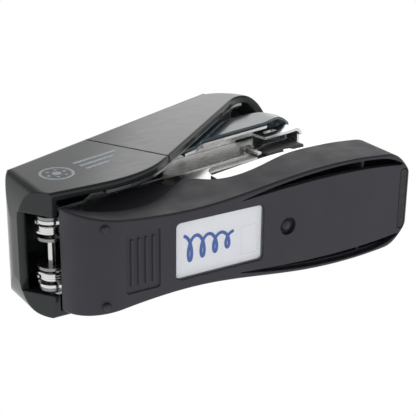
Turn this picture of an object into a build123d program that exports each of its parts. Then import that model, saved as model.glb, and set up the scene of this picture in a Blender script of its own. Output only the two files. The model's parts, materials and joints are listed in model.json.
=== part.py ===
from build123d import *
import os
from math import cos, radians, sin

# Desktop stapler with a tall nesting handle, in millimetres.
# +X points to the stapling mouth, +Z is up from the table, and the origin is on
# the table under the middle of the stapler.

os.makedirs("parts", exist_ok=True)

# ---------------------------------------------------------------- driving sizes
overall_length = 130.0
handle_width = 40.0
front_end = overall_length / 2
rear_end = -overall_length / 2

# Hinge: one steel pin carries the base, the head and the handle.
pin_x = rear_end + 8.7
pin_z = 21.0
pin_radius = 1.25
pin_half_length = 14.6
running_fit = 0.1

# Opening of the head at rest, and how far the handle then goes down on it.
head_tilt = 10.5

# Base: a plastic tray with a steel plate in it.
base_rear = rear_end + 7.9
base_floor = 2.0
base_wall = 1.5
hump_x = -10.5
hump_z = 22.6
deck_z = 17.6
deck_start = 45.0
curl_radius = 14.0
plate_top = 22.0
plate_steel = 1.2
plate_start = 0.0
lug_x = 30.5
ear_inner = 9.7
ear_steel = 1.0
eye_radius = 4.3

# Label in the underside, with its clear window.
label_x = -10.0
label_length = 31.0
label_width = 18.2
label_depth = 1.3

# Moulded panel, round plug, foot bar and pegs of the underside.
panel_x = -36.8
panel_depth = 0.45
plug_x = 14.9
plug_radius = 2.8
foot_x = 61.4
foot_width = 21.4
peg_x = -48.5
peg_y = 12.2
peg_radius = 1.2

# Anvil.
anvil_x = 48.5
anvil_top = 22.8

# Handle: two plastic shells over a steel lever.
handle_half = handle_width / 2
handle_crown = 3.9
crown_angle = 22.7
shoulder_radius = 3.0
skirt_radius = 1.0
nose_axis_x = 33.0
shell_wall = 2.4
lever_inset = 2.8
lever_steel = 1.0
split_gap = 0.5
window_half = 12.7
window_top = 25.0

# Head, measured from the pin: along the magazine, and up from it.
magazine_floor = 2.2
magazine_front = 107.0
side_steel = 0.7
side_outer = 8.2
side_top = 19.5
frame_half = 14.2
frame_steel = 1.0
frame_roof = 19.8
cover_half = 15.3
cover_wall = 1.0
cover_edge = 12.6
cover_nose_edge = 16.4
drawer_top = 9.5
blade_start = magazine_front + 0.2
blade_steel = 0.8
blade_half = 6.2
blade_tip = 11.6
carrier_top = 29.0
strip_start = 74.5
drawer_front = 111.0
tray_half = 7.3
tray_inner = 6.55
catch_along = 89.5
catch_pin_y = -side_outer - 1.0
catch_pin_up = 9.2
yoke_outer = 5.2
rivet_places = ((18, 8), (30, 8))
front_plate_low = 8.7
front_plate_high = 15.4

far = 200.0

# ---------------------------------------------------------------- planes
crown_point = Vector(-26, 0, 60.5)
tilt_cos = cos(radians(head_tilt))
tilt_sin = sin(radians(head_tilt))
along = Vector(tilt_cos, 0, tilt_sin)
upward = Vector(-tilt_sin, 0, tilt_cos)
pin_point = Vector(pin_x, 0, pin_z)

# Side view of the head: sketch x runs along the magazine, sketch y is up from it.
head_side = Plane(origin=pin_point, x_dir=along, z_dir=(0, -1, 0))
pin_side = Plane(origin=pin_point, x_dir=(1, 0, 0), z_dir=(0, -1, 0))


def head_level(height):
    """Plan view of the head at a height above the pin."""
    return Plane(origin=pin_point + upward * height, x_dir=along, z_dir=upward)


def head_section(distance):
    """Cross-section of the head at a distance from the pin; sketch x is across."""
    return Plane(origin=pin_point + along * distance, x_dir=(0, 1, 0), z_dir=along)


def at_side(plane, y):
    """A side view moved across the stapler to y."""
    return plane.offset(-y)


def slab(sketch, half_width):
    """A side view made solid, as far to the left of the middle as to the right."""
    with BuildPart() as prism:
        add(sketch.moved(Location((0, half_width, 0))))
        extrude(amount=2 * half_width, dir=(0, -1, 0))
    return prism.part


def save(builder, label):
    """Name a finished piece and write it."""
    builder.part.label = label
    export_step(builder.part, "parts/" + label + ".step")


# ================================================================ base
def base_outline(inset=0.0):
    """Plan of the base, drawn in by inset: wide rear, waist, wide rounded front."""
    with BuildSketch() as outline:
        with BuildLine():
            edge = Spline(
                (base_rear + inset, 16.6 - inset),
                (-47, 14.7 - inset),
                (-36, 13.4 - inset),
                (-16, 12.8 - inset),
                (5, 14.9 - inset),
                (21, 16.8 - inset),
                (36, 17.5 - inset),
                (51, 16.9 - inset),
            )
            nose = Spline(
                edge @ 1,
                (58 - 0.3 * inset, 15.6 - 0.9 * inset),
                (63.2 - 0.8 * inset, 10.5 - 0.6 * inset),
                (front_end - inset, 0),
                tangents=(edge % 1, (0, -1)),
            )
            mirror(edge, about=Plane.XZ)
            mirror(nose, about=Plane.XZ)
            Line((base_rear + inset, 16.6 - inset), (base_rear + inset, inset - 16.6))
        make_face()
    return outline.sketch


def base_profile():
    """Side view of the base: rear curl, hump at the throat, low front deck."""
    with BuildSketch(Plane.XZ) as profile:
        with BuildLine():
            curl = CenterArc((base_rear + curl_radius, curl_radius), curl_radius, 184, 86)
            Line(curl @ 1, (front_end - 3, 0))
            front = Spline(
                (front_end - 3, 0),
                (front_end, 5),
                (front_end - 0.6, 12),
                (front_end - 6, deck_z - 0.5),
                (48, deck_z),
                tangents=((1, 0), (-1, 0)),
            )
            dip = Spline(
                front @ 1,
                (36, 17.4),
                (25, 16.8),
                (14, 14.2),
                (5, 13.4),
                (-3, 16.0),
                (hump_x + 1, hump_z),
                tangents=((-1, 0), (-1, 0.6)),
            )
            rear = Spline(
                (hump_x, hump_z),
                (-17, 18.0),
                (-26, 11.8),
                (-38, 7.8),
                (-49, 9.0),
                curl @ 0,
                tangents=((-1, -0.6), (-1, 0.7)),
            )
            Line(dip @ 1, rear @ 0)
        make_face()
    return profile.sketch


def cavity_profile():
    """Side view of the hollow in the base, open above except under the front deck."""
    with BuildSketch(Plane.XZ) as profile:
        with BuildLine():
            curl_centre = (base_rear + curl_radius, curl_radius)
            curl = CenterArc(curl_centre, curl_radius - base_floor, 184, 86)
            Polyline(
                curl @ 1,
                (front_end - 3.5, base_floor),
                (front_end - 3.5, 9.5),
                (front_end - 9.5, deck_z - base_floor - 0.4),
                (deck_start + 1.2, deck_z - base_floor),
                (deck_start + 1.2, base_floor + 0.5),
                (deck_start, base_floor + 0.5),
                (deck_start, far),
                (base_rear + base_floor, far),
                curl @ 0,
            )
        make_face()
    return profile.sketch


def crescent(side):
    """Plan of the long slot between the underside panel and the rim."""
    with BuildSketch() as slot:
        with BuildLine():
            outer = Spline(
                (-2.6, side * 12.0),
                (12, side * 14.6),
                (30, side * 16.3),
                (48, side * 16.1),
                (57, side * 14.4),
                (61, side * 12.2),
            )
            inner = Spline((59, side * 12.2), (46, side * 13.3), (26, side * 13.5), (-2.6, side * 11.8))
            Line(outer @ 1, inner @ 0)
            Line(inner @ 1, outer @ 0)
        make_face()
    return slot.sketch


with BuildPart() as base_cavity:
    add(base_outline(base_wall))
    extrude(amount=60)
    add(slab(cavity_profile(), 30), mode=Mode.INTERSECT)

with BuildPart() as base_shell:
    add(base_outline())
    extrude(amount=40)
    add(slab(base_profile(), 30), mode=Mode.INTERSECT)
    lower_rim = [edge for edge in base_shell.edges().group_by(Axis.Z)[0] if edge.length > 30]
    fillet(lower_rim, radius=0.7)
    add(base_cavity.part, mode=Mode.SUBTRACT)
    # Inner walls beside the steel ears, which hide the springs from the side.
    for side in (1, -1):
        with BuildSketch(Plane.XZ.offset(-side * 11.1)):
            with BuildLine():
                ridge = Spline((-49, 17.5), (-38, 22.4), (-26, 24.6), (-17, 24.2), tangents=((1, 0.5), (1, -0.2)))
                Polyline(ridge @ 1, (-13.5, 20.5), (-17, 1.8), (-46, 1.8), (-49, 6), ridge @ 0)
            make_face()
        extrude(amount=-side * 1.3)
    for side in (1, -1):
        add(crescent(side))
        extrude(amount=base_floor + 0.5, mode=Mode.SUBTRACT)
    # Recess for the label, and a shallow moulded panel with plain ribs.
    with BuildSketch():
        with Locations((label_x, 0)):
            RectangleRounded(label_length + 0.4, label_width + 0.4, 1.6)
    extrude(amount=label_depth, mode=Mode.SUBTRACT)
    with BuildSketch():
        with Locations((panel_x, 0)):
            RectangleRounded(11.5, 19, 1)
            with GridLocations(2.4, 0, 4, 1):
                RectangleRounded(0.8, 15, 0.3, mode=Mode.SUBTRACT)
    extrude(amount=panel_depth, mode=Mode.SUBTRACT)
    # Seats for the round plug, the foot bar and the pegs.
    with BuildSketch():
        with Locations((plug_x, 0)):
            Circle(plug_radius + 0.1)
        with Locations((peg_x, peg_y), (peg_x, -peg_y)):
            Circle(peg_radius)
    extrude(amount=base_floor + 4, mode=Mode.SUBTRACT)
    with BuildSketch():
        with Locations((foot_x, 0)):
            RectangleRounded(3.2, foot_width, 1.5)
    extrude(amount=1.2, mode=Mode.SUBTRACT)
save(base_shell, "base_shell")


with BuildPart() as plate_hollow:
    add(base_outline(base_wall + 0.1 + plate_steel))
    extrude(amount=plate_top - plate_steel)

with BuildPart() as base_plate_tray:
    add(base_outline(base_wall + 0.1))
    extrude(amount=plate_top)
    add(plate_hollow.part, mode=Mode.SUBTRACT)
    with BuildSketch():
        with Locations(((plate_start + deck_start) / 2 - 0.2, 0)):
            Rectangle(deck_start - plate_start - 0.4, 60)
    extrude(amount=far, mode=Mode.INTERSECT)
    with BuildSketch():
        Rectangle(far, far)
    extrude(amount=8, mode=Mode.SUBTRACT)


def ear_profile():
    """Side view of an ear: round eye at the pin, high back, hollow front edge."""
    with BuildSketch(Plane.XZ) as profile:
        with BuildLine():
            back = Spline(
                (plate_start + 6.5, 32.5),
                (-10, 31.5),
                (-34, 27.6),
                (pin_x, pin_z + eye_radius),
                tangents=((-1, 0), (-1, 0)),
            )
            eye = ThreePointArc(back @ 1, (pin_x - eye_radius, pin_z), (pin_x, pin_z - eye_radius))
            hollow = ThreePointArc((plate_start + 6.5, plate_top - 1), (plate_start + 3.4, 26.5), back @ 0)
            Polyline(
                eye @ 1,
                (-48, 12),
                (-40, 4.4),
                (-4, 4.4),
                (plate_start + 2, 8),
                (plate_start + 6.5, 8),
                hollow @ 0,
            )
        make_face()
    return profile.sketch


with BuildPart() as base_plate:
    # Ears at the sides of the throat, joined low down by a web.
    add(slab(ear_profile(), ear_inner + ear_steel))
    with BuildSketch(Plane.XY.offset(5.6)):
        Rectangle(far, 2 * ear_inner)
    extrude(amount=far, mode=Mode.SUBTRACT)
    # Pressed tray at the front, upside down, with its flanges inside the plastic walls.
    add(base_plate_tray.part)
    # The tray's front flange, and a small stop lug on its right-hand edge.
    with BuildPart(mode=Mode.PRIVATE) as flange:
        add(base_outline(base_wall + 0.1))
        extrude(amount=plate_top)
        with Locations((deck_start - 0.4 - plate_steel / 2, 0, plate_top / 2 + 4)):
            Box(plate_steel, 60, plate_top - 8, mode=Mode.INTERSECT)
    add(flange.part)
    with BuildSketch(Plane.XZ.offset(14.4)):
        with Locations((lug_x, plate_top + 0.6)):
            SlotOverall(3.6, 2.8)
    extrude(amount=1.2)
    # Tongue over the front deck, which carries the anvil.
    with BuildSketch(Plane.XY.offset(plate_top - plate_steel)):
        with Locations((deck_start + 5.4, 0)):
            RectangleRounded(20, 24, 4)
    extrude(amount=plate_steel)
    with Locations(pin_side):
        Cylinder(pin_radius, 60, mode=Mode.SUBTRACT)
    with Locations((anvil_x, 0, plate_top)):
        Cylinder(1.6, 10, mode=Mode.SUBTRACT)
save(base_plate, "base_plate")

with BuildPart() as front_foot:
    with BuildSketch():
        with Locations((foot_x, 0)):
            RectangleRounded(2.8, foot_width - 0.4, 1.3)
    extrude(amount=1.2)
    fillet(front_foot.edges().group_by(Axis.Z)[0], radius=0.4)
save(front_foot, "front_foot")

with BuildPart() as belly_plug:
    with BuildSketch(Plane.XZ):
        with BuildLine():
            dome = ThreePointArc((plug_x, 0.2), (plug_x + 1.3, 0.5), (plug_x + 2.1, 1.4))
            Polyline(dome @ 1, (plug_x + plug_radius, 1.4), (plug_x + plug_radius, 3.2), (plug_x, 3.2), dome @ 0)
        make_face()
    revolve(axis=Axis((plug_x, 0, 0), (0, 0, 1)))
save(belly_plug, "belly_plug")

with BuildPart() as rear_pegs:
    with Locations((peg_x, peg_y, 0), (peg_x, -peg_y, 0)):
        Cylinder(peg_radius, 5.0, align=(Align.CENTER, Align.CENTER, Align.MIN))
    fillet(rear_pegs.edges().group_by(Axis.Z)[0], radius=0.7)
save(rear_pegs, "rear_pegs")

with BuildPart() as label_card:
    with BuildSketch(Plane.XY.offset(label_depth - 0.25)):
        with Locations((label_x, 0)):
            RectangleRounded(label_length - 0.4, label_width - 0.4, 1.2)
    extrude(amount=0.25)
save(label_card, "label_card")

with BuildPart() as label_window:
    with BuildSketch(Plane.XY.offset(0.1)):
        with Locations((label_x, 0)):
            RectangleRounded(label_length, label_width, 1.4)
    extrude(amount=label_depth - 0.35)
    chamfer(label_window.edges().group_by(Axis.Z)[0], length=0.3)
save(label_window, "label_window")

with BuildPart() as hinge_pin:
    with Locations(pin_side):
        Cylinder(pin_radius, 2 * pin_half_length)
    chamfer(hinge_pin.edges(), length=0.25)
save(hinge_pin, "hinge_pin")

with BuildPart() as pin_washers:
    for side in (1, -1):
        with BuildSketch(at_side(pin_side, side * (ear_inner + ear_steel))):
            Circle(4.1)
            Circle(pin_radius, mode=Mode.SUBTRACT)
        extrude(amount=-side * 1.1)
save(pin_washers, "pin_washers")

with BuildPart() as anvil_stud:
    with Locations((anvil_x, 0, plate_top - plate_steel)):
        Cylinder(1.6, plate_steel, align=(Align.CENTER, Align.CENTER, Align.MIN))
    with Locations((anvil_x, 0, plate_top)):
        Cylinder(1.3, anvil_top - plate_top, align=(Align.CENTER, Align.CENTER, Align.MIN))
    with Locations((anvil_x, 0, plate_top - plate_steel - 0.5)):
        Cylinder(2.6, 0.5, align=(Align.CENTER, Align.CENTER, Align.MIN))
save(anvil_stud, "anvil_stud")

with BuildPart() as anvil:
    with BuildSketch(Plane.XY.offset(plate_top + 0.05)):
        with Locations((anvil_x, 0)):
            RectangleRounded(12, 18, 2.5)
            Circle(1.3 + running_fit, mode=Mode.SUBTRACT)
    extrude(amount=anvil_top - plate_top - 0.05)
    # Two pairs of grooves: the front pair bends the legs in, the rear pair out.
    for groove_x, reach in ((2.8, 3.4), (-2.8, 4.6)):
        with BuildSketch(Plane.XY.offset(anvil_top)):
            with GridLocations(0, 2 * reach, 1, 2):
                with Locations((anvil_x + groove_x, 0)):
                    SlotOverall(4.4, 1.5, rotation=90)
        extrude(amount=-0.4, mode=Mode.SUBTRACT)
save(anvil, "anvil")


# ================================================================ head
def side_profile():
    """Side view of the magazine's steel side: low at the rear, stepped up at the front."""
    with BuildSketch(head_side) as profile:
        with BuildLine():
            belly = Spline((10, -1.5), (29, -1.4), (43, 1.0), (56, magazine_floor), tangents=((1, -0.1), (1, 0)))
            Polyline(
                belly @ 1,
                (88, magazine_floor),
                (88, 6.6),
                (91, 7.4),
                (99, 9.6),
                (109, 9.6),
                (109, side_top),
                (14, side_top),
                (10, 15),
                belly @ 0,
            )
        make_face()
    return profile.sketch


with BuildPart() as magazine_hollow:
    with BuildSketch(head_side):
        with Locations((50, (side_top - side_steel) / 2 - 10)):
            Rectangle(300, side_top - side_steel + 20)
    extrude(amount=side_outer - side_steel, both=True)
    # The roof stops short of the nose, where the driver comes down.
    with BuildSketch(head_side):
        with Locations((118, side_top)):
            Rectangle(40, 10)
    extrude(amount=side_outer - side_steel, both=True)

with BuildPart() as magazine_channel:
    add(slab(side_profile(), side_outer))
    add(magazine_hollow.part, mode=Mode.SUBTRACT)
    # Two pressed beads along each side are the rails that show under the handle.
    for side in (1, -1):
        for bead_height in (6.0, 7.5):
            with BuildSketch(at_side(head_side, side * side_outer)):
                with Locations((64, bead_height)):
                    SlotOverall(47, 0.8)
            extrude(amount=-side * 0.5)
    # Lugs for the catch's pin are on the right-hand side only.
    for lug in (catch_along - 2.2, catch_along + 1.2):
        with BuildSketch(head_section(lug)):
            with Locations((catch_pin_y + 0.2, catch_pin_up)):
                Rectangle(1.8, 2.2)
        extrude(amount=1.0)
    with BuildSketch(head_section(catch_along - 8)):
        with Locations((catch_pin_y, catch_pin_up)):
            Circle(0.5 + 0.02)
    extrude(amount=20, mode=Mode.SUBTRACT)
    for rivet_along, rivet_up in rivet_places:
        with Locations(head_side):
            with Locations((rivet_along, rivet_up)):
                Cylinder(1.0, 60, mode=Mode.SUBTRACT)
save(magazine_channel, "magazine_channel")

with BuildPart() as hinge_yoke:
    with BuildSketch(head_side):
        with BuildLine():
            eye = ThreePointArc((0, eye_radius), (-eye_radius, 0), (0, -eye_radius))
            Polyline(eye @ 1, (30, 1.5), (34, 5), (34, 12), (14, 12), eye @ 0)
        make_face()
    extrude(amount=yoke_outer, both=True)
    with BuildSketch(head_side):
        with Locations((0, -3)):
            Rectangle(100, 28)
    extrude(amount=yoke_outer - 1, both=True, mode=Mode.SUBTRACT)
    with Locations(head_side):
        Cylinder(pin_radius + running_fit, 60, mode=Mode.SUBTRACT)
    for rivet_along, rivet_up in rivet_places:
        with Locations(head_side):
            with Locations((rivet_along, rivet_up)):
                Cylinder(1.0, 60, mode=Mode.SUBTRACT)
save(hinge_yoke, "hinge_yoke")

with BuildPart() as frame_rivets:
    for rivet_along, rivet_up in rivet_places:
        with Locations(head_side):
            with Locations((rivet_along, rivet_up)):
                Cylinder(1.0, 2 * side_outer + 0.8)
save(frame_rivets, "frame_rivets")


def cover_side(inset=0.0):
    """Side view of the nose cover: straight lower edge, domed nose, low rear end."""
    with BuildSketch(head_side) as profile:
        with BuildLine():
            Polyline(
                (58 - inset, 23.4 - inset),
                (58 - inset, 8.2),
                (66, 9.4),
                (72, cover_edge),
                (102, cover_edge),
                (118 - inset, cover_nose_edge),
            )
            nose = Spline(
                (118 - inset, cover_nose_edge),
                (115.8 - inset, 18.5 - 0.5 * inset),
                (109.5 - 0.5 * inset, 23.8 - inset),
                (100, 25.8 - inset),
                tangents=((0, 1), (-1, -0.05)),
            )
            Line(nose @ 1, (58 - inset, 23.4 - inset))
        make_face()
    return profile.sketch


def cover_plan(inset=0.0):
    """Plan of the nose cover: straight sides and a blunt rounded nose."""
    with BuildSketch(head_level(0)) as plan:
        with BuildLine():
            edge = Line((50, cover_half - inset), (99, cover_half - inset))
            nose = Spline(
                edge @ 1,
                (110.2, 14.1 - inset),
                (114.9 - 0.7 * inset, 10.9 - 0.7 * inset),
                (118.7 - inset, 0),
                tangents=((1, 0), (0, -1)),
            )
            mirror(edge, about=Plane.XZ)
            mirror(nose, about=Plane.XZ)
            Line((50, cover_half - inset), (50, inset - cover_half))
        make_face()
    return plan.sketch


with BuildPart() as cover_hollow:
    add(cover_plan(cover_wall))
    extrude(amount=30)
    add(slab(cover_side(cover_wall), 30), mode=Mode.INTERSECT)
    with BuildSketch(head_level(-5)):
        with Locations((60, 0)):
            Rectangle(100, 2 * (cover_half - cover_wall))
    extrude(amount=16)
    add(cover_plan(cover_wall))
    extrude(amount=17.4)

with BuildPart() as inner_cover:
    add(cover_plan())
    extrude(amount=30)
    add(slab(cover_side(), 30), mode=Mode.INTERSECT)
    top_edges = inner_cover.edges().filter_by(lambda edge: 40 < edge.length < 46)
    fillet(top_edges.sort_by(Axis.Z)[-2:], radius=2.5)
    add(cover_hollow.part, mode=Mode.SUBTRACT)
    # The driver and the handle's tongue work through a window in the top.
    with BuildSketch(head_level(16)):
        with Locations((blade_start - 4.7, 0)):
            Rectangle(14, 17.4)
    extrude(amount=20, mode=Mode.SUBTRACT)
save(inner_cover, "inner_cover")

with BuildPart() as head_frame:
    with BuildSketch(head_side):
        with BuildLine():
            Polyline(
                (60, frame_roof),
                (60, 8.0),
                (65.5, 9.0),
                (71.5, 11.8),
                (102, 11.8),
                (102, frame_roof),
                close=True,
            )
        make_face()
    extrude(amount=frame_half, both=True)
    with BuildSketch(head_side):
        with Locations((60, 0)):
            Rectangle(200, 2 * (frame_roof - frame_steel))
    extrude(amount=frame_half - frame_steel, both=True, mode=Mode.SUBTRACT)
    with BuildSketch(head_level(10)):
        with Locations((60, 0)):
            Rectangle(200, 2 * side_outer + 0.1)
    extrude(amount=9.5, mode=Mode.SUBTRACT)
    with BuildSketch(head_level(10)):
        with Locations((blade_start - 3.7, 0)):
            Rectangle(20, 17.4)
    extrude(amount=20, mode=Mode.SUBTRACT)
    # Small lance-out on each side, just above the lower edge.
    for side in (1, -1):
        with BuildSketch(at_side(head_side, side * (frame_half - frame_steel))):
            with Locations((73, 12.6)):
                Rectangle(3.0, 1.6)
        extrude(amount=side * 0.8)
save(head_frame, "head_frame")

with BuildPart() as front_plate:
    with BuildSketch(head_level(front_plate_low)):
        with BuildLine():
            bend = ThreePointArc((112.8, 11.4), (116.0, 10.5), (117.0, 8.0))
            mirror(bend, about=Plane.XZ)
            Line((117.0, 8.0), (117.0, -8.0))
            Polyline((112.8, 11.4), (98, 11.4), (98, -11.4), (112.8, -11.4))
        make_face()
    extrude(amount=front_plate_high - front_plate_low)
    with BuildSketch(head_level(0)):
        with BuildLine():
            inner_bend = ThreePointArc((112.6, 10.4), (115.3, 9.6), (116.0, 7.6))
            mirror(inner_bend, about=Plane.XZ)
            Line((116.0, 7.6), (116.0, -7.6))
            Polyline((112.6, 10.4), (90, 10.4), (90, -10.4), (112.6, -10.4))
        make_face()
    extrude(amount=30, mode=Mode.SUBTRACT)
    # The drawer slides out under the middle.
    with BuildSketch(head_level(0)):
        with Locations((114, 0)):
            Rectangle(10, 2 * side_outer + 0.8)
    extrude(amount=drawer_top + 0.6, mode=Mode.SUBTRACT)
    # Arrow-shaped slot in each wing.
    with BuildSketch(head_side):
        with Locations((104, 12.6)):
            Trapezoid(7, 2.0, 60)
    extrude(amount=20, both=True, mode=Mode.SUBTRACT)
save(front_plate, "front_plate")

# ---------------------------------------------------------------- magazine drawer
with BuildPart() as magazine_drawer:
    # Long tray, then a wider nose block with the driver's slot through it.
    with BuildSketch(head_level(magazine_floor)):
        with Locations(((40 + 92) / 2, 0)):
            Rectangle(52, 2 * tray_half)
        with Locations(((92 + drawer_front) / 2, 0)):
            RectangleRounded(drawer_front - 92, 2 * side_outer, 1.2)
    extrude(amount=drawer_top - magazine_floor)
    with BuildSketch(head_level(magazine_floor + 0.9)):
        with Locations(((41.5 + magazine_front) / 2, 0)):
            Rectangle(magazine_front - 41.5, 2 * tray_inner)
    extrude(amount=20, mode=Mode.SUBTRACT)
    with BuildSketch(head_level(magazine_floor)):
        with Locations((magazine_front + 0.65, 0)):
            Rectangle(1.3, 2 * tray_inner)
    extrude(amount=20, mode=Mode.SUBTRACT)
    # Stepped sides, and the notch that the catch drops into.
    for side in (1, -1):
        with BuildSketch(at_side(head_side, side * side_outer)):
            with BuildLine():
                Polyline((89, 6.3), (91, 7.1), (99, 9.3), (99, 14), (60, 14), (60, 6.3), close=True)
            make_face()
        extrude(amount=side * (side_outer - tray_half), mode=Mode.SUBTRACT)
    with BuildSketch(at_side(head_side, -side_outer)):
        with Locations((catch_along, 4)):
            Rectangle(2.2, 8)
    extrude(amount=-(side_outer - tray_half), mode=Mode.SUBTRACT)
save(magazine_drawer, "magazine_drawer")

with BuildPart() as core_rail:
    with BuildSketch(head_section(43)):
        with Locations((0, 6.0)):
            Rectangle(10.4, 5.4)
        with Locations((0, 5.2)):
            Rectangle(8.8, 5.4, mode=Mode.SUBTRACT)
        with Locations((0, 9)):
            Rectangle(2.2, 6, mode=Mode.SUBTRACT)
    extrude(amount=magazine_front - 0.3 - 43)
save(core_rail, "core_rail")

with BuildPart() as guide_rod:
    with BuildSketch(head_section(41.5)):
        with Locations((0, 5.9)):
            Circle(0.9)
    extrude(amount=magazine_front - 0.3 - 41.5)
save(guide_rod, "guide_rod")

with BuildPart() as staple_strip:
    with BuildSketch(head_section(strip_start)):
        with Locations((0, 6.3)):
            RectangleRounded(12.6, 6.0, 0.25)
        with Locations((0, 5.75)):
            Rectangle(11.5, 6.0, mode=Mode.SUBTRACT)
    extrude(amount=magazine_front - 0.1 - strip_start)
save(staple_strip, "staple_strip")

with BuildPart() as pusher:
    with BuildSketch(head_section(strip_start - 0.4)):
        with Locations((0, 6.7)):
            Rectangle(12.4, 6.0)
        with Locations((0, 6.0)):
            Rectangle(11.0, 5.8, mode=Mode.SUBTRACT)
        with Locations((0, 7.6)):
            Rectangle(1.6, 3.8)
        with Locations((0, 5.9)):
            Circle(1.9)
            Circle(0.9 + running_fit, mode=Mode.SUBTRACT)
    extrude(amount=-9.5)
    with BuildSketch(head_section(strip_start - 0.4)):
        with Locations((0, 6)):
            Rectangle(20, 12)
    extrude(amount=-9.5, mode=Mode.INTERSECT)
save(pusher, "pusher")

with BuildPart() as pusher_spring:
    with BuildSketch(head_section(41.7)):
        with Locations((0, 5.9)):
            Circle(2.0)
            Circle(1.3, mode=Mode.SUBTRACT)
    extrude(amount=strip_start - 9.9 - 0.2 - 41.7)
save(pusher_spring, "pusher_spring")

# ---------------------------------------------------------------- catch
with BuildPart() as drawer_catch:
    with BuildSketch(head_section(catch_along - 0.9)):
        with BuildLine():
            Polyline(
                (-side_outer - 0.45, catch_pin_up + 1.1),
                (-side_outer - 1.6, catch_pin_up + 1.1),
                (-side_outer - 1.1, 2.6),
                (-tray_half - 0.25, 3.2),
                (-tray_half - 0.25, 5.6),
                (-side_outer - 0.15, 6.2),
                (-side_outer - 0.15, catch_pin_up - 0.5),
                close=True,
            )
        make_face()
        with Locations((catch_pin_y, catch_pin_up)):
            Circle(0.5 + running_fit, mode=Mode.SUBTRACT)
    extrude(amount=1.8)
save(drawer_catch, "drawer_catch")

with BuildPart() as catch_pin:
    with BuildSketch(head_section(catch_along - 2.2)):
        with Locations((catch_pin_y, catch_pin_up)):
            Circle(0.5)
    extrude(amount=4.4)
save(catch_pin, "catch_pin")

# ---------------------------------------------------------------- driver
with BuildPart() as driver_blade:
    with BuildSketch(head_section(blade_start)):
        with Locations((0, (blade_tip + carrier_top) / 2)):
            Rectangle(2 * blade_half, carrier_top - blade_tip)
    extrude(amount=blade_steel)
save(driver_blade, "driver_blade")

with BuildPart() as driver_carrier:
    with BuildSketch(head_side):
        with BuildLine():
            Polyline(
                (blade_start - 7.3, 23.4),
                (blade_start - 4.7, 21.9),
                (blade_start, 21.9),
                (blade_start, carrier_top),
                (blade_start - 7.3, carrier_top),
                close=True,
            )
        make_face()
    extrude(amount=7.0, both=True)
    fillet(driver_carrier.edges().filter_by(Axis.Y).group_by(Axis.Z)[-1], radius=0.6)
save(driver_carrier, "driver_carrier")


# ================================================================ handle
def handle_side(inset=0.0):
    """Side view of the closed form of the handle, drawn in by inset."""
    with BuildSketch(Plane.XZ) as profile:
        with BuildLine():
            back = Spline(
                (rear_end + inset, 25 + 0.2 * inset),
                (rear_end - 0.1 + inset, 30),
                (-61.8 + 0.8 * inset, 39.4 - 0.6 * inset),
                (-51 + 0.5 * inset, 48.6 - 0.9 * inset),
                (-38 + 0.4 * inset, 54.9 - inset),
                (-26 + 0.4 * inset, 60.4 - inset),
                tangents=((0, 1), (0.92, 0.385)),
            )
            top = Spline(
                (-26 + 0.4 * inset, 60.4 - inset),
                (-2 + 0.4 * inset, 70.45 - inset),
                (20 + 0.4 * inset, 79.2 - inset),
                (33, 82.8 - inset),
                (45, 81.2 - inset),
                (54 - 0.7 * inset, 76.6 - 0.7 * inset),
                (58 - inset, 70.4),
                tangents=((0.92, 0.385), (0, -1)),
            )
            skirt_front = Line(top @ 1, (45.5, 70.2))
            bend = Spline(skirt_front @ 1, (40.6, 69.0), (35.9, 66.0), tangents=((-1, 0), (-0.77, -0.63)))
            slope = Line(bend @ 1, (-12.6, 26.5))
            rear_skirt = Spline(
                slope @ 1, (-22, 20.0), (-34, 16.2), (-45, 15.5), tangents=((-0.77, -0.63), (-1, 0))
            )
            Polyline(rear_skirt @ 1, (-58.2 + inset, 15.5), back @ 0)
        make_face()
    return profile.sketch


def below_skirt(rise):
    """Everything under a line that runs along the skirt's lower edge, raised by rise."""
    with BuildSketch(Plane.XZ) as region:
        with BuildLine():
            bend = Spline(
                (45.5 - 0.4 * rise, 70.2 + rise),
                (40.6 - 0.5 * rise, 69.0 + rise),
                (35.9 - 0.63 * rise, 66.0 + 0.77 * rise),
                tangents=((-1, 0), (-0.77, -0.63)),
            )
            slope = Line(bend @ 1, (-12.6 - 0.63 * rise, 26.5 + 0.77 * rise))
            rear = Spline(
                slope @ 1,
                (-22 - 0.3 * rise, 20.0 + 0.9 * rise),
                (-34, 16.2 + rise),
                (-45, 15.5 + rise),
                tangents=((-0.77, -0.63), (-1, 0)),
            )
            Polyline(rear @ 1, (-100, 15.5 + rise), (-100, -10), (100, -10), (100, 70.2 + rise), bend @ 0)
        make_face()
    return region.sketch


def handle_plan(inset=0.0):
    """Plan of the handle: straight sides, shallow bowed back, rounded nose."""
    with BuildSketch() as plan:
        with BuildLine():
            side_y = handle_half - inset
            edge = Line((-59, side_y), (41, side_y))
            nose = Spline(
                edge @ 1,
                (49.4 - 0.4 * inset, 17.9 - 0.9 * inset),
                (55.4 - 0.7 * inset, 12.2 - 0.7 * inset),
                (58.8 - inset, 0),
                tangents=((1, 0), (0, -1)),
            )
            corner = Spline(
                edge @ 0,
                (-63.2 + 0.7 * inset, 17.6 - 0.7 * inset),
                (-65.2 + inset, 9),
                (-65.8 + inset, 0),
                tangents=((-1, 0), (0, -1)),
            )
            for curve in (edge, nose, corner):
                mirror(curve, about=Plane.XZ)
        make_face()
    return plan.sketch


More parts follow.
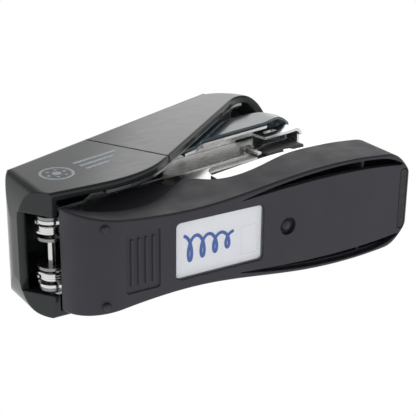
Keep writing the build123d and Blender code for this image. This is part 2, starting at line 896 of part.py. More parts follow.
def crowned_bar(inset=0.0):
    """Long bar on the handle's slope: its section has a bowed top and rounded shoulders."""
    slope = Vector(cos(radians(crown_angle)), 0, sin(radians(crown_angle)))
    half = handle_half - inset + 0.03
    drop = handle_crown + inset
    with BuildPart() as bar:
        with BuildSketch(Plane(origin=crown_point - slope * 150, x_dir=(0, 1, 0), z_dir=slope)):
            with BuildLine():
                bow = ThreePointArc((-half, -drop), (0, -inset), (half, -drop))
                Polyline(bow @ 1, (half, -120), (-half, -120), bow @ 0)
            make_face()
        extrude(amount=400)
        shoulders = bar.edges().filter_by(lambda edge: edge.length > 399).group_by(Axis.Z)[-1]
        fillet(shoulders, radius=max(shoulder_radius - inset, 0.6))
    return bar.part


def nose_dome(inset=0.0):
    """Dome that rounds the nose, with a plain block behind it."""
    with BuildPart() as dome:
        with BuildSketch(Plane(origin=(nose_axis_x, 0, 0), x_dir=(1, 0, 0), z_dir=(0, -1, 0))):
            with BuildLine():
                top = Spline(
                    (0, 85.6 - inset),
                    (12, 83.4 - inset),
                    (18.4 - 0.5 * inset, 80.6 - 0.9 * inset),
                    (21.3 - 0.9 * inset, 75.6 - 0.5 * inset),
                    (23.8 - inset, 70.4),
                    (26 - inset, 62),
                    tangents=((1, 0), (0.2, -1)),
                )
                Polyline(top @ 1, (26 - inset, 0), (0, 0), top @ 0)
            make_face()
        revolve(axis=Axis((nose_axis_x, 0, 0), (0, 0, 1)))
        with Locations((nose_axis_x - 60, 0, 50)):
            Box(120, 80, 110)
    return dome.part


def handle_form(inset=0.0):
    """Closed form of the handle, drawn in by inset."""
    with BuildPart() as form:
        add(handle_plan(inset))
        extrude(amount=100)
        add(slab(handle_side(inset), 40), mode=Mode.INTERSECT)
        add(crowned_bar(inset), mode=Mode.INTERSECT)
        add(nose_dome(inset), mode=Mode.INTERSECT)
    return form.part


def is_skirt_edge(edge):
    """Long lower edges of the handle's two flat sides."""
    low = edge.bounding_box().min
    high = edge.bounding_box().max
    on_a_side = abs(abs(edge.center().Y) - handle_half) < 0.3
    return on_a_side and edge.length > 5 and high.Z < 70.6 and high.X - low.X > 0.2


with BuildPart() as open_below:
    # The hollow runs out through the underside, forward of the rear lips.
    with BuildSketch(Plane.XZ):
        with BuildLine():
            Polyline((-56.5, -10), (-56.5, 30), (-30, 44), (30, 70.6), (70, 70.6), (70, -10), close=True)
        make_face()
    extrude(amount=handle_half - shell_wall, both=True)

with BuildPart() as plan_inside:
    add(handle_plan(shell_wall))
    extrude(amount=100)

with BuildPart() as handle_hollow:
    add(open_below.part)
    add(plan_inside.part, mode=Mode.INTERSECT)
    add(handle_form(shell_wall))

with BuildPart() as handle_shell:
    add(handle_form())
    fillet(handle_shell.edges().filter_by(is_skirt_edge), radius=skirt_radius)
    add(handle_hollow.part, mode=Mode.SUBTRACT)
    # Window in the sloping rear face, between the lips.
    with BuildSketch(Plane.XY.offset(-1)):
        with Locations((-60, 0)):
            RectangleRounded(24, 2 * window_half, 1.5)
    extrude(amount=window_top + 1, mode=Mode.SUBTRACT)

# Split between the two shells, square to the sloping top.
split_plane = Plane(origin=(-20.7, 0, 41), x_dir=(0, 1, 0), z_dir=(29, 0, 16.3))

with BuildPart() as handle_front_shell:
    add(handle_shell.part)
    split(bisect_by=split_plane.offset(split_gap / 2), keep=Keep.TOP)
save(handle_front_shell, "handle_front_shell")

with BuildPart() as handle_rear_shell:
    add(handle_shell.part)
    split(bisect_by=split_plane.offset(-split_gap / 2), keep=Keep.BOTTOM)
save(handle_rear_shell, "handle_rear_shell")

with BuildPart() as lever_channel:
    add(handle_form(lever_inset))
    add(handle_form(lever_inset + lever_steel), mode=Mode.SUBTRACT)
    add(slab(below_skirt(0.8), 40), mode=Mode.SUBTRACT)
    with BuildSketch():
        with Locations((2, 0)):
            Rectangle(84, 60)
    extrude(amount=100, mode=Mode.INTERSECT)
save(lever_channel, "lever_channel")

with BuildPart() as pivot_brackets:
    with BuildSketch(Plane.XZ):
        with BuildLine():
            eye = ThreePointArc((pin_x, pin_z - 2.6), (pin_x - 2.6, pin_z), (pin_x - 1.6, pin_z + 2.05))
            Polyline(eye @ 1, (-56, 30), (-50, 40), (-30, 48), (-26, 44), (-34, 30), (-46, 20), eye @ 0)
        make_face()
    extrude(amount=13.9, both=True)
    with BuildSketch(Plane.XZ):
        Rectangle(far, far)
    extrude(amount=12.9, both=True, mode=Mode.SUBTRACT)
    with Locations(pin_side):
        Cylinder(pin_radius + running_fit, 60, mode=Mode.SUBTRACT)
save(pivot_brackets, "pivot_brackets")

tongue = blade_start - 9.7
with BuildPart() as press_tongue:
    with BuildSketch(head_side):
        with BuildLine():
            Polyline((tongue, 30.3), (tongue + 5, 30.3), (tongue + 5, 38.3), (tongue, 37.5), close=True)
        make_face()
    extrude(amount=5, both=True)
save(press_tongue, "press_tongue")

with BuildPart() as pin_clips:
    for side in (1, -1):
        with BuildSketch(at_side(pin_side, side * 14.0)):
            Circle(2.6)
            Circle(pin_radius, mode=Mode.SUBTRACT)
        extrude(amount=-side * 0.5)
save(pin_clips, "pin_clips")

with BuildPart() as torsion_springs:
    for side in (1, -1):
        with BuildSketch(at_side(pin_side, side * 6.0)):
            Circle(4.0)
            Circle(2.8, mode=Mode.SUBTRACT)
        extrude(amount=-side * 3.4)
save(torsion_springs, "torsion_springs")

with BuildPart() as lift_spring:
    with BuildSketch(Plane.XZ):
        with BuildLine():
            Polyline((-40, 5.6), (-30, 5.6), (-14, 27.5), (-14.5, 27.9), (-30.3, 6.2), (-40, 6.2), close=True)
        make_face()
    extrude(amount=4, both=True)
save(lift_spring, "lift_spring")
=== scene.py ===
"""Looks for the desktop stapler: camera, light, materials and the pieces that CAD keeps plain.

Everything is in metres in the part's own frame: +X to the stapling mouth, +Z up, the table at z = 0.
"""

import json
from math import atan2, cos, pi, radians, sin

import bmesh
import bpy
from mathutils import Matrix, Vector


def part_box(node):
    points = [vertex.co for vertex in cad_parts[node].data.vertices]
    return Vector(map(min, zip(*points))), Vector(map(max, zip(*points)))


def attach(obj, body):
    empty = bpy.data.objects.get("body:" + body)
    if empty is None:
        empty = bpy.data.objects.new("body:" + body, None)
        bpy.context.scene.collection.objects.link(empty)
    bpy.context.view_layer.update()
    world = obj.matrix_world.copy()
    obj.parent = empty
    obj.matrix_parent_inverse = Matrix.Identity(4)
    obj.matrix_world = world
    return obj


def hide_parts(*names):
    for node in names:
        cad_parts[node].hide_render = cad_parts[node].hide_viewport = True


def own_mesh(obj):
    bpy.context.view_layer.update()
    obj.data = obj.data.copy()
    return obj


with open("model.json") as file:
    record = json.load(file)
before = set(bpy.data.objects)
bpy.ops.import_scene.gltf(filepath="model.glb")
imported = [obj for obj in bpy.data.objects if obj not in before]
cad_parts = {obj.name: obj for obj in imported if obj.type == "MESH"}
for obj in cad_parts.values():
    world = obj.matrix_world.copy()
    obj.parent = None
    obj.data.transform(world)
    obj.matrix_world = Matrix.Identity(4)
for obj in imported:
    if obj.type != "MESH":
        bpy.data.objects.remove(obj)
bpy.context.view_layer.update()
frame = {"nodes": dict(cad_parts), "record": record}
nodes = frame["nodes"]
joints = {joint["name"]: joint for joint in frame["record"]["behaviour"]["joints"]}

MM = 0.001


# ---------------------------------------------------------------- places read from the frame
def middle(node):
    """Middle of a CAD node's box."""
    low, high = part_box(node)
    return (low + high) / 2


along = Vector(joints["pusher_slide"]["axis"]).normalized()
upward = Vector((-along.z, 0, along.x))
head_tilt = atan2(along.z, along.x)
pin = Vector(joints["head_hinge"]["pos_m"])
handle_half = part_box("handle_rear_shell")[1].y
label_low, label_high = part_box("label_card")
window_low, window_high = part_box("label_window")


def head_point(distance, height, y=0.0):
    """Point of the head, from its distance along the magazine and its height above the pin."""
    return pin + along * distance + upward * height + Vector((0, y, 0))


# ---------------------------------------------------------------- camera and light
def add_camera():
    """The stapler lies on its left side in the picture, so the camera's up is -Y."""
    place = Vector((-0.1877, -0.1429, -0.2734))
    up = Vector((0, -1, 0))
    look_down = radians(22)
    heading = radians(32.31)
    roll = radians(-0.69)
    level = Vector((sin(heading), 0, cos(heading)))
    forward = level * cos(look_down) - up * sin(look_down)
    right = forward.cross(up).normalized()
    top = right.cross(forward)
    turn = Matrix.Rotation(roll, 3, forward)
    right = turn @ right
    top = turn @ top
    data = bpy.data.cameras.new("camera")
    data.sensor_width = 36
    data.lens = 101.98
    data.clip_start = 0.01
    camera = bpy.data.objects.new("camera", data)
    camera.matrix_world = Matrix.Translation(place) @ Matrix((right, top, -forward)).transposed().to_4x4()
    bpy.context.scene.collection.objects.link(camera)
    bpy.context.scene.camera = camera


def add_softbox(name, place, target, width, height, radiance):
    """Area light of an even radiance that shows only in reflections and in what it lights."""
    data = bpy.data.lights.new(name, "AREA")
    data.shape = "RECTANGLE"
    data.size = width
    data.size_y = height
    data.energy = radiance * pi * width * height
    light = bpy.data.objects.new(name, data)
    light.location = place
    light.rotation_euler = (Vector(target) - Vector(place)).to_track_quat("-Z", "Y").to_euler()
    light.visible_camera = False
    bpy.context.scene.collection.objects.link(light)


def add_world():
    """Studio that is plain white to the camera, and whose light is dimmer from -Y, the picture's top."""
    world = bpy.data.worlds.new("studio")
    bpy.context.scene.world = world
    world.use_nodes = True
    tree = world.node_tree
    background = tree.nodes["Background"]
    background.inputs["Color"].default_value = (1, 1, 1, 1)
    direction = tree.nodes.new("ShaderNodeTexCoord").outputs["Generated"]
    split = tree.nodes.new("ShaderNodeSeparateXYZ")
    tree.links.new(direction, split.inputs[0])
    dim_below, bright_above = -0.52, -0.36
    dim_strength, bright_strength = 0.22, 0.92
    fade = tree.nodes.new("ShaderNodeMapRange")
    fade.interpolation_type = "SMOOTHSTEP"
    fade.inputs["From Min"].default_value = dim_below
    fade.inputs["From Max"].default_value = bright_above
    fade.inputs["To Min"].default_value = dim_strength
    fade.inputs["To Max"].default_value = bright_strength
    tree.links.new(split.outputs["Y"], fade.inputs["Value"])
    seen = tree.nodes.new("ShaderNodeLightPath").outputs["Is Camera Ray"]
    strength = tree.nodes.new("ShaderNodeMath")
    strength.operation = "MAXIMUM"
    tree.links.new(fade.outputs["Result"], strength.inputs[0])
    tree.links.new(seen, strength.inputs[1])
    tree.links.new(strength.outputs[0], background.inputs["Strength"])
    bpy.context.scene.view_settings.view_transform = "Standard"


def add_floor():
    """Pale floor that is seen from above only, so that the picture's low camera looks through it."""
    mesh = bpy.data.meshes.new("floor")
    half = 1.5
    corners = [(-half, -half, 0), (half, -half, 0), (half, half, 0), (-half, half, 0)]
    mesh.from_pydata(corners, [], [(0, 1, 2, 3)])
    floor = bpy.data.objects.new("floor", mesh)
    floor.location.z = -0.0002
    bpy.context.scene.collection.objects.link(floor)
    material = bpy.data.materials.new("floor")
    material.use_nodes = True
    tree = material.node_tree
    shader = tree.nodes["Principled BSDF"]
    shader.inputs["Base Color"].default_value = (0.82, 0.82, 0.81, 1)
    shader.inputs["Roughness"].default_value = 0.6
    clear = tree.nodes.new("ShaderNodeBsdfTransparent")
    mix = tree.nodes.new("ShaderNodeMixShader")
    geometry = tree.nodes.new("ShaderNodeNewGeometry")
    path = tree.nodes.new("ShaderNodeLightPath")
    front = tree.nodes.new("ShaderNodeMath")
    front.operation = "SUBTRACT"
    tree.links.new(path.outputs["Is Camera Ray"], front.inputs[0])
    tree.links.new(geometry.outputs["Backfacing"], front.inputs[1])
    front.use_clamp = True
    tree.links.new(front.outputs[0], mix.inputs[0])
    tree.links.new(clear.outputs[0], mix.inputs[1])
    tree.links.new(shader.outputs[0], mix.inputs[2])
    tree.links.new(mix.outputs[0], tree.nodes["Material Output"].inputs["Surface"])
    mesh.materials.append(material)


# ---------------------------------------------------------------- materials
class Surface:
    """A material under construction: a Principled shader and the nodes that feed it."""

    def __init__(self, name, color, roughness, metallic=0.0, ior=1.5):
        self.material = bpy.data.materials.new(name)
        self.material.use_nodes = True
        self.tree = self.material.node_tree
        self.shader = self.tree.nodes["Principled BSDF"]
        self.shader.inputs["Base Color"].default_value = (*color, 1)
        self.shader.inputs["Roughness"].default_value = roughness
        self.shader.inputs["Metallic"].default_value = metallic
        self.shader.inputs["IOR"].default_value = ior
        self.place = self.tree.nodes.new("ShaderNodeTexCoord").outputs["Object"]
        self.normal = None

    def stretched(self, scale, turn=0.0):
        """Object coordinates scaled unevenly, after a turn about Y."""
        mapping = self.tree.nodes.new("ShaderNodeMapping")
        mapping.inputs["Scale"].default_value = scale
        mapping.inputs["Rotation"].default_value = (0, turn, 0)
        self.tree.links.new(self.place, mapping.inputs["Vector"])
        return mapping.outputs["Vector"]

    def noise(self, scale, detail=2.0, rough=0.5, vector=None):
        """Noise of about 1 / scale metres a cell."""
        node = self.tree.nodes.new("ShaderNodeTexNoise")
        node.inputs["Scale"].default_value = scale
        node.inputs["Detail"].default_value = detail
        node.inputs["Roughness"].default_value = rough
        self.tree.links.new(vector or self.place, node.inputs["Vector"])
        return node.outputs["Fac"]

    def ramp(self, source, low, high, from_low=0.3, from_high=0.7):
        """Map a noise to a range of values."""
        node = self.tree.nodes.new("ShaderNodeMapRange")
        node.inputs["From Min"].default_value = from_low
        node.inputs["From Max"].default_value = from_high
        node.inputs["To Min"].default_value = low
        node.inputs["To Max"].default_value = high
        self.tree.links.new(source, node.inputs["Value"])
        return node.outputs["Result"]

    def blend_color(self, source, first, second):
        """Base colour between two shades, chosen by a noise."""
        node = self.tree.nodes.new("ShaderNodeMix")
        node.data_type = "RGBA"
        node.inputs["A"].default_value = (*first, 1)
        node.inputs["B"].default_value = (*second, 1)
        self.tree.links.new(source, node.inputs["Factor"])
        self.tree.links.new(node.outputs["Result"], self.shader.inputs["Base Color"])

    def rough(self, source, low, high, from_low=0.3, from_high=0.7):
        """Roughness between two values, chosen by a noise."""
        value = self.ramp(source, low, high, from_low, from_high)
        self.tree.links.new(value, self.shader.inputs["Roughness"])

    def soften_edges(self, radius):
        """Small round on every edge, in the shading."""
        node = self.tree.nodes.new("ShaderNodeBevel")
        node.samples = 4
        node.inputs["Radius"].default_value = radius
        self.normal = node.outputs["Normal"]
        self.tree.links.new(self.normal, self.shader.inputs["Normal"])

    def bump(self, source, depth, strength=1.0):
        """Relief of a depth in metres, on top of any relief already there."""
        node = self.tree.nodes.new("ShaderNodeBump")
        node.inputs["Strength"].default_value = strength
        node.inputs["Distance"].default_value = depth
        self.tree.links.new(source, node.inputs["Height"])
        if self.normal is not None:
            self.tree.links.new(self.normal, node.inputs["Normal"])
        self.normal = node.outputs["Normal"]
        self.tree.links.new(self.normal, self.shader.inputs["Normal"])


def gloss_black():
    """Polished black ABS of the handle: faint flow marks, finger smears and orange peel."""
    surface = Surface("gloss_black", (0.018, 0.022, 0.025), 0.12, ior=1.43)
    surface.soften_edges(0.9 * MM)
    surface.blend_color(surface.noise(35, 3), (0.015, 0.019, 0.020), (0.023, 0.028, 0.029))
    smear = surface.noise(160, 5, 0.65, surface.stretched((1, 1, 2.4), radians(25)))
    surface.rough(smear, 0.11, 0.20)
    surface.bump(surface.noise(420, 2), 0.01 * MM, 0.15)
    surface.bump(surface.noise(9000, 2), 0.004 * MM, 0.25)
    return surface.material


def satin_black():
    """Spark-eroded black plastic of the base: even fine grain, worn a little smoother in places."""
    surface = Surface("satin_black", (0.030, 0.029, 0.038), 0.46, ior=1.42)
    surface.soften_edges(0.4 * MM)
    surface.blend_color(surface.noise(28, 4), (0.027, 0.0265, 0.036), (0.036, 0.035, 0.046))
    surface.rough(surface.noise(90, 5, 0.6), 0.40, 0.54)
    surface.bump(surface.noise(5200, 3, 0.6), 0.012 * MM, 0.5)
    surface.bump(surface.noise(260, 2), 0.02 * MM, 0.25)
    return surface.material


def cover_plastic():
    """Smoke-teal polished plastic of the nose cover."""
    surface = Surface("cover_plastic", (0.055, 0.088, 0.105), 0.14, ior=1.54)
    surface.soften_edges(0.4 * MM)
    surface.blend_color(surface.noise(30, 3), (0.048, 0.078, 0.094), (0.066, 0.102, 0.118))
    surface.rough(surface.noise(140, 4, 0.6), 0.07, 0.18)
    surface.bump(surface.noise(300, 2), 0.02 * MM, 0.3)
    return surface.material


def drawer_plastic():
    """Plain black moulding of the drawer and the pusher."""
    surface = Surface("drawer_plastic", (0.022, 0.022, 0.023), 0.38)
    surface.soften_edges(0.25 * MM)
    surface.blend_color(surface.noise(60, 3), (0.018, 0.018, 0.019), (0.030, 0.030, 0.031))
    surface.rough(surface.noise(200, 4), 0.30, 0.50)
    surface.bump(surface.noise(4000, 2), 0.01 * MM, 0.5)
    return surface.material


def foot_rubber():
    """Soft black rubber with a dusty bloom."""
    surface = Surface("foot_rubber", (0.025, 0.025, 0.027), 0.72)
    surface.soften_edges(0.3 * MM)
    surface.blend_color(surface.noise(300, 5, 0.7), (0.020, 0.020, 0.022), (0.045, 0.045, 0.048))
    surface.rough(surface.noise(500, 4), 0.6, 0.85)
    surface.bump(surface.noise(3500, 3), 0.02 * MM, 0.6)
    return surface.material


def plated_steel(name, shade, low, high, grain_turn=0.0, grain=(30, 900, 900)):
    """Plated sheet steel: rolling grain one way, cloudy plating and small handling scratches."""
    surface = Surface(name, shade, (low + high) / 2, metallic=1.0)
    surface.soften_edges(0.2 * MM)
    darker = tuple(0.86 * channel for channel in shade)
    surface.blend_color(surface.noise(220, 4, 0.6), darker, shade)
    rolled = surface.noise(1.0, 4, 0.65, surface.stretched(grain, grain_turn))
    surface.rough(rolled, low, high)
    surface.bump(rolled, 0.01 * MM, 0.25)
    scratches = surface.noise(1.0, 3, 0.5, surface.stretched((1200, 1200, 90), 0.6))
    surface.bump(scratches, 0.006 * MM, 0.3)
    return surface.material


def staple_wire():
    """Glued strip of staples: one flat wire every half millimetre along the magazine, with painted shade
    darkening the grooves between the wires.
    """
    surface = Surface("staple_wire", (0.80, 0.80, 0.79), 0.25, metallic=1.0)
    wire_pitch = 0.5 * MM
    wave = surface.tree.nodes.new("ShaderNodeTexWave")
    wave.bands_direction = "X"
    wave.inputs["Scale"].default_value = pi / (10 * wire_pitch)
    surface.tree.links.new(surface.stretched((1, 1, 1), head_tilt), wave.inputs["Vector"])
    # Painted shade: the same wave that sinks the grooves in the relief also darkens the base colour in
    # them.
    surface.blend_color(wave.outputs["Fac"], (0.42, 0.42, 0.41), (0.86, 0.86, 0.85))
    surface.rough(surface.noise(900, 3), 0.18, 0.34)
    surface.bump(wave.outputs["Fac"], 0.1 * MM, 0.8)
    return surface.material


def label_paper():
    """White card with a faint fibre and a slight tint."""
    surface = Surface("label_paper", (0.93, 0.95, 0.99), 0.55)
    surface.blend_color(surface.noise(120, 4, 0.6), (0.92, 0.94, 0.99), (0.95, 0.965, 1.0))
    surface.rough(surface.noise(700, 3), 0.5, 0.65)
    surface.bump(surface.noise(2500, 5, 0.7), 0.01 * MM, 0.5)
    return surface.material


def clear_window():
    """Thin clear plastic over the label, with faint scuffs."""
    surface = Surface("clear_window", (0.93, 0.95, 1.0), 0.06)
    surface.shader.inputs["Alpha"].default_value = 0.07
    surface.rough(surface.noise(260, 4, 0.6), 0.04, 0.16)
    surface.bump(surface.noise(500, 2), 0.01 * MM, 0.2)
    return surface.material


def print_ink(name, first, second):
    """Opaque ink, slightly uneven."""
    surface = Surface(name, first, 0.4)
    surface.blend_color(surface.noise(800, 4, 0.6), first, second)
    surface.rough(surface.noise(1500, 3), 0.3, 0.5)
    surface.bump(surface.noise(5000, 2), 0.003 * MM, 0.3)
    return surface.material


def paint_nodes(window_plastic):
    """Give every CAD node that stays visible its material."""
    rolled_steel = plated_steel("bright_steel", (0.80, 0.80, 0.79), 0.14, 0.26)
    head_steel = plated_steel("head_steel", (0.78, 0.78, 0.77), 0.16, 0.30, head_tilt)
    lever_steel = plated_steel("lever_steel", (0.36, 0.37, 0.39), 0.22, 0.38, head_tilt)
    turned_steel = plated_steel("turned_steel", (0.74, 0.74, 0.73), 0.10, 0.20, 0.0, (900, 40, 900))
    dark_steel = plated_steel("dark_steel", (0.30, 0.30, 0.31), 0.20, 0.34)
    finish = {
        gloss_black(): ["handle_front_shell", "handle_rear_shell"],
        satin_black(): ["base_shell", "rear_pegs", "belly_plug"],
        cover_plastic(): ["inner_cover"],
        drawer_plastic(): ["magazine_drawer", "pusher"],
        foot_rubber(): ["front_foot"],
        rolled_steel: ["base_plate", "anvil"],
        head_steel: [
            "magazine_channel",
            "front_plate",
            "head_frame",
            "drawer_catch",
            "core_rail",
            "driver_blade",
        ],
        lever_steel: ["lever_channel", "pivot_brackets", "press_tongue"],
        turned_steel: ["hinge_pin", "anvil_stud", "frame_rivets", "catch_pin", "guide_rod", "pin_clips"],
        dark_steel: ["hinge_yoke", "pin_washers", "driver_carrier"],
        staple_wire(): ["staple_strip"],
        label_paper(): ["label_card"],
        window_plastic: ["label_window"],
    }
    for material, names in finish.items():
        for name in names:
            slots = nodes[name].data.materials
            slots.clear()
            slots.append(material)


# ---------------------------------------------------------------- mesh helpers
def add_piece(name, mesh_builder, material, body):
    """Make an object from a bmesh, give it a material, and let it ride on a body."""
    mesh = bpy.data.meshes.new(name)
    mesh_builder.normal_update()
    mesh_builder.to_mesh(mesh)
    mesh_builder.free()
    mesh.materials.append(material)
    piece = bpy.data.objects.new(name, mesh)
    bpy.context.scene.collection.objects.link(piece)
    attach(piece, body)
    return piece


def sweep_wire(builder, path, radius, sides=12):
    """Round wire along a path, closed at both ends, with an untwisted section."""
    tangents = []
    for index in range(len(path)):
        before = path[max(index - 1, 0)]
        after = path[min(index + 1, len(path) - 1)]
        tangents.append((after - before).normalized())
    across = tangents[0].orthogonal().normalized()
    rings = []
    for point, tangent in zip(path, tangents):
        across = (across - tangent * across.dot(tangent)).normalized()
        other = tangent.cross(across)
        ring = []
        for side in range(sides):
            angle = 2 * pi * side / sides
            ring.append(builder.verts.new(point + (across * cos(angle) + other * sin(angle)) * radius))
        rings.append(ring)
    for first, second in zip(rings, rings[1:]):
        for side in range(sides):
            after = (side + 1) % sides
            face = builder.faces.new((first[side], first[after], second[after], second[side]))
            face.smooth = True
    builder.faces.new(list(reversed(rings[0])))
    builder.faces.new(rings[-1])


def sweep_strip(builder, path, half_width, thickness):
    """Flat spring strip along a path in the XZ plane, lying across Y about the path's own y."""
    rings = []
    for index, point in enumerate(path):
        before = path[max(index - 1, 0)]
        after = path[min(index + 1, len(path) - 1)]
        tangent = (after - before).normalized()
        normal = Vector((-tangent.z, 0, tangent.x)) * (thickness / 2)
        side = Vector((0, half_width, 0))
        corners = (
            point - side - normal,
            point + side - normal,
            point + side + normal,
            point - side + normal,
        )
        rings.append([builder.verts.new(corner) for corner in corners])
    for first, second in zip(rings, rings[1:]):
        for corner in range(4):
            after = (corner + 1) % 4
            face = builder.faces.new((first[corner], second[corner], second[after], first[after]))
            face.smooth = corner in (0, 2)
    builder.faces.new(rings[0])
    builder.faces.new(list(reversed(rings[-1])))


def smooth_path(points, steps=8):
    """Catmull-Rom curve through a few points."""
    padded = [points[0] * 2 - points[1]] + list(points) + [points[-1] * 2 - points[-2]]
    path = []
    for index in range(1, len(padded) - 2):
        before, start, end, after = padded[index - 1 : index + 3]
        for step in range(steps):
            t = step / steps
            path.append(
                0.5
                * (
                    2 * start
                    + (end - before) * t
                    + (2 * before - 5 * start + 4 * end - after) * t**2
                    + (3 * start - before - 3 * end + after) * t**3
                )
            )
    path.append(points[-1])
    return path


def outline_prism(builder, outline, depth):
    """Thin plate with an outline, raised along depth."""
    bottom = [builder.verts.new(point) for point in outline]
    top = [builder.verts.new(point + depth) for point in outline]
    count = len(outline)
    builder.faces.new(list(reversed(bottom)))
    builder.faces.new(top)
    for index in range(count):
        after = (index + 1) % count
        builder.faces.new((bottom[index], bottom[after], top[after], top[index]))


def ring_prism(builder, outer, inner, depth):
    """Flat ring between two outlines of the same number of points, raised along depth."""
    loops = []
    for outline in (outer, inner):
        loops.append([builder.verts.new(point) for point in outline])
        loops.append([builder.verts.new(point + depth) for point in outline])
    outer_low, outer_high, inner_low, inner_high = loops
    count = len(outer)
    for index in range(count):
        after = (index + 1) % count
        for first, second in (
            (outer_low, outer_high),
            (outer_high, inner_high),
            (inner_high, inner_low),
            (inner_low, outer_low),
        ):
            builder.faces.new((first[index], first[after], second[after], second[index]))


def rounded_outline(half_length, half_width, radius, corner_steps=5):
    """Points of a rounded rectangle about the origin, as (x, y) pairs."""
    points = []
    for corner, (sign_x, sign_y) in enumerate(((1, 1), (-1, 1), (-1, -1), (1, -1))):
        for step in range(corner_steps + 1):
            angle = radians(90 * corner + 90 * step / corner_steps)
            x = sign_x * (half_length - radius) + radius * cos(angle)
            y = sign_y * (half_width - radius) + radius * sin(angle)
            points.append((x, y))
    return points


# ---------------------------------------------------------------- springs
def torsion_coil(side):
    """Wound spring round the pin, with its two ends standing out to the rear."""
    coil_low, coil_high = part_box("torsion_springs")
    wire = 0.6 * MM
    coil_length = 3.4 * MM
    coil_radius = (coil_high.z - coil_low.z) / 2 - wire
    outer_y = coil_high.y - wire
    inner_y = coil_high.y - coil_length + wire
    turns = 2.75
    steps = 24
    path = []
    start_angle = radians(200)
    total = int(turns * steps)
    for step in range(total + 1):
        share = step / total
        angle = start_angle + 2 * pi * turns * share
        y = side * (inner_y + (outer_y - inner_y) * share)
        path.append(pin + Vector((coil_radius * cos(angle), y, coil_radius * sin(angle))))
    first_tangent = (path[0] - path[1]).normalized()
    last_tangent = (path[-1] - path[-2]).normalized()
    lead = [path[0] + first_tangent * (length * MM) for length in (2.2, 1.1)]
    tail = [path[-1] + last_tangent * (length * MM) for length in (1.4, 2.8)]
    builder = bmesh.new()
    sweep_wire(builder, lead + path + tail, wire)
    return builder


def add_torsion_springs(material):
    """Both torsion springs, in place of the plain sleeves."""
    for side, name in ((-1, "torsion_spring_right"), (1, "torsion_spring_left")):
        piece = add_piece(name, torsion_coil(side), material, "base")
        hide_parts("torsion_springs")


def add_pusher_spring(material):
    """Long coil on the guide rod, from the rod's rear end up to the pusher, riding with the drawer."""
    rod_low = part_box("guide_rod")[0]
    rod_axis = middle("guide_rod")
    rear = head_point((rod_low - pin).dot(along) + 0.5 * MM, (rod_axis - pin).dot(upward))
    pusher_vertices = nodes["pusher"].data.vertices
    pusher_rear = min((vertex.co - pin).dot(along) for vertex in pusher_vertices)
    length = pusher_rear - (rear - pin).dot(along) - 0.4 * MM
    wire = 0.28 * MM
    coil_radius = 1.65 * MM
    turns = 17
    steps = 14
    path = []
    for step in range(turns * steps + 1):
        share = step / (turns * steps)
        angle = 2 * pi * turns * share
        across = Vector((0, 1, 0)) * cos(angle) + upward * sin(angle)
        path.append(rear + along * (length * share) + across * coil_radius)
    builder = bmesh.new()
    sweep_wire(builder, path, wire, 8)
    piece = add_piece("pusher_coil", builder, material, "drawer")
    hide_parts("pusher_spring")
    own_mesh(piece)


def add_lift_spring(material):
    """Leaf under the magazine that lifts the head, with a curl where it rubs."""
    low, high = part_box("lift_spring")
    foot = Vector((low.x, 0, low.z + 0.2 * MM))
    bend = Vector((low.x + 9 * MM, 0, low.z + 0.25 * MM))
    knee = Vector((low.x + 14 * MM, 0, low.z + 4 * MM))
    shin = Vector((high.x - 5 * MM, 0, high.z - 7 * MM))
    tip = Vector((high.x - 1.2 * MM, 0, high.z - 0.7 * MM))
    builder = bmesh.new()
    sweep_strip(builder, smooth_path([foot, bend, knee, shin, tip]), (high.y - low.y) / 2, 0.5 * MM)
    piece = add_piece("lift_leaf", builder, material, "base")
    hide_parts("lift_spring")
    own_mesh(piece)


# ---------------------------------------------------------------- marks
def add_emblem(side, material):
    """Plain printed mark on the rear shell: a ring with seven dots in it, and three bars."""
    name = "printed_mark_right" if side < 0 else "printed_mark_left"
    slope = radians(15)
    run = Vector((cos(slope), 0, sin(slope)))
    rise = Vector((-sin(slope), 0, cos(slope)))
    face_y = side * (handle_half + 0.005 * MM)
    depth = Vector((0, side * 0.03 * MM, 0))
    centre = Vector((-49.5 * MM, face_y, 30.0 * MM))
    size = 1.3
    builder = bmesh.new()

    def circle(middle_point, radius, count=28):
        points = []
        for index in range(count):
            angle = -side * 2 * pi * index / count
            points.append(middle_point + run * (radius * cos(angle)) + rise * (radius * sin(angle)))
        return points

    ring_prism(builder, circle(centre, 4.2 * size * MM), circle(centre, 3.5 * size * MM), depth)
    outline_prism(builder, circle(centre, 1.1 * size * MM), depth)
    petals = 6
    for petal in range(petals):
        angle = 2 * pi * petal / petals
        place = centre + (run * cos(angle) + rise * sin(angle)) * (2.3 * size * MM)
        outline_prism(builder, circle(place, 0.42 * size * MM, 16), depth)
    for row, length in enumerate((17.5, 14.0, 9.5)):
        start = centre + run * (7.0 * size * MM) + rise * ((2.3 - 2.3 * row) * size * MM)
        half_length = length / 2 * MM
        outline = []
        for x, z in rounded_outline(half_length, 0.6 * MM, 0.55 * MM):
            outline.append(start + run * (half_length + x) + rise * (-side * z))
        outline_prism(builder, outline, depth)
    bmesh.ops.recalc_face_normals(builder, faces=builder.faces)
    add_piece(name, builder, material, "handle")


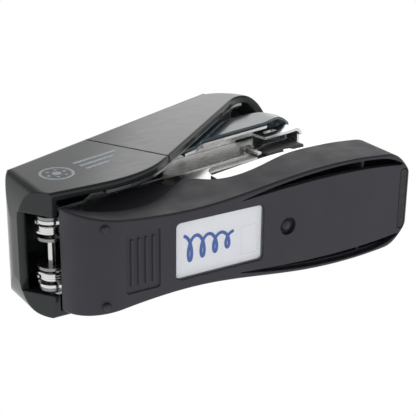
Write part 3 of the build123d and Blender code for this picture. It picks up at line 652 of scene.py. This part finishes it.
def add_label_drawing(material):
    """Loose pen scribble on the label card, drawn with one width of pen."""
    pen = 0.52 * MM
    z = label_low.z - 0.06 * MM
    centre = (label_low + label_high) / 2
    length = label_high.x - label_low.x
    left = label_low.x + 0.09 * length
    loops = 4
    points = []
    steps = 60
    for step in range(steps + 1):
        share = step / steps
        swing = share * loops * 2 * pi
        x = left + share * 0.58 * length + 1.6 * MM * sin(swing)
        y = centre.y - 4.4 * MM * cos(swing) * (1 - 0.45 * share)
        points.append(Vector((x, y, z)))
    curve = bpy.data.curves.new("scribble", "CURVE")
    curve.dimensions = "3D"
    curve.bevel_depth = pen
    curve.bevel_resolution = 3
    curve.use_fill_caps = True
    spline = curve.splines.new("NURBS")
    spline.points.add(len(points) - 1)
    for point, place in zip(spline.points, points):
        point.co = (*place, 1)
    spline.order_u = 4
    spline.use_endpoint_u = True
    loose = bpy.data.objects.new("scribble", curve)
    bpy.context.scene.collection.objects.link(loose)
    bpy.context.view_layer.update()
    mesh = bpy.data.meshes.new_from_object(loose.evaluated_get(bpy.context.evaluated_depsgraph_get()))
    bpy.data.objects.remove(loose)
    builder = bmesh.new()
    builder.from_mesh(mesh)
    for vertex in builder.verts:
        vertex.co.z = z + (vertex.co.z - z) * 0.12
    add_piece("label_scribble", builder, material, "base")


def add_window_frame(material):
    """Raised outline of the finger pad moulded in the label's window."""
    centre = Vector((window_high.x - 5.2 * MM, 1.2 * MM, window_low.z - 0.05 * MM))
    depth = Vector((0, 0, 0.09 * MM))
    outlines = []
    for inset in (0.0, 0.35):
        points = rounded_outline((3.1 - inset) * MM, (4.9 - inset) * MM, (0.9 - inset / 2) * MM)
        outlines.append([centre + Vector((x, y, 0)) for x, y in points])
    builder = bmesh.new()
    ring_prism(builder, outlines[0], outlines[1], depth)
    bmesh.ops.recalc_face_normals(builder, faces=builder.faces)
    add_piece("window_pad_outline", builder, material, "base")


# ---------------------------------------------------------------- build the scene
add_camera()
add_world()
add_softbox("top_softbox", (0.40, -0.27, 0.62), (0, 0, 0.03), 0.55, 0.20, 1.0)
add_floor()
window_plastic = clear_window()
paint_nodes(window_plastic)
spring_wire = plated_steel("spring_wire", (0.82, 0.82, 0.81), 0.08, 0.18, 0.0, (300, 300, 300))
add_torsion_springs(spring_wire)
add_pusher_spring(spring_wire)
add_lift_spring(spring_wire)
pale_print = print_ink("pale_print", (0.50, 0.60, 0.68), (0.62, 0.70, 0.76))
for emblem_side in (-1, 1):
    add_emblem(emblem_side, pale_print)
add_label_drawing(print_ink("blue_pen", (0.004, 0.075, 0.36), (0.006, 0.10, 0.45)))
add_window_frame(window_plastic)
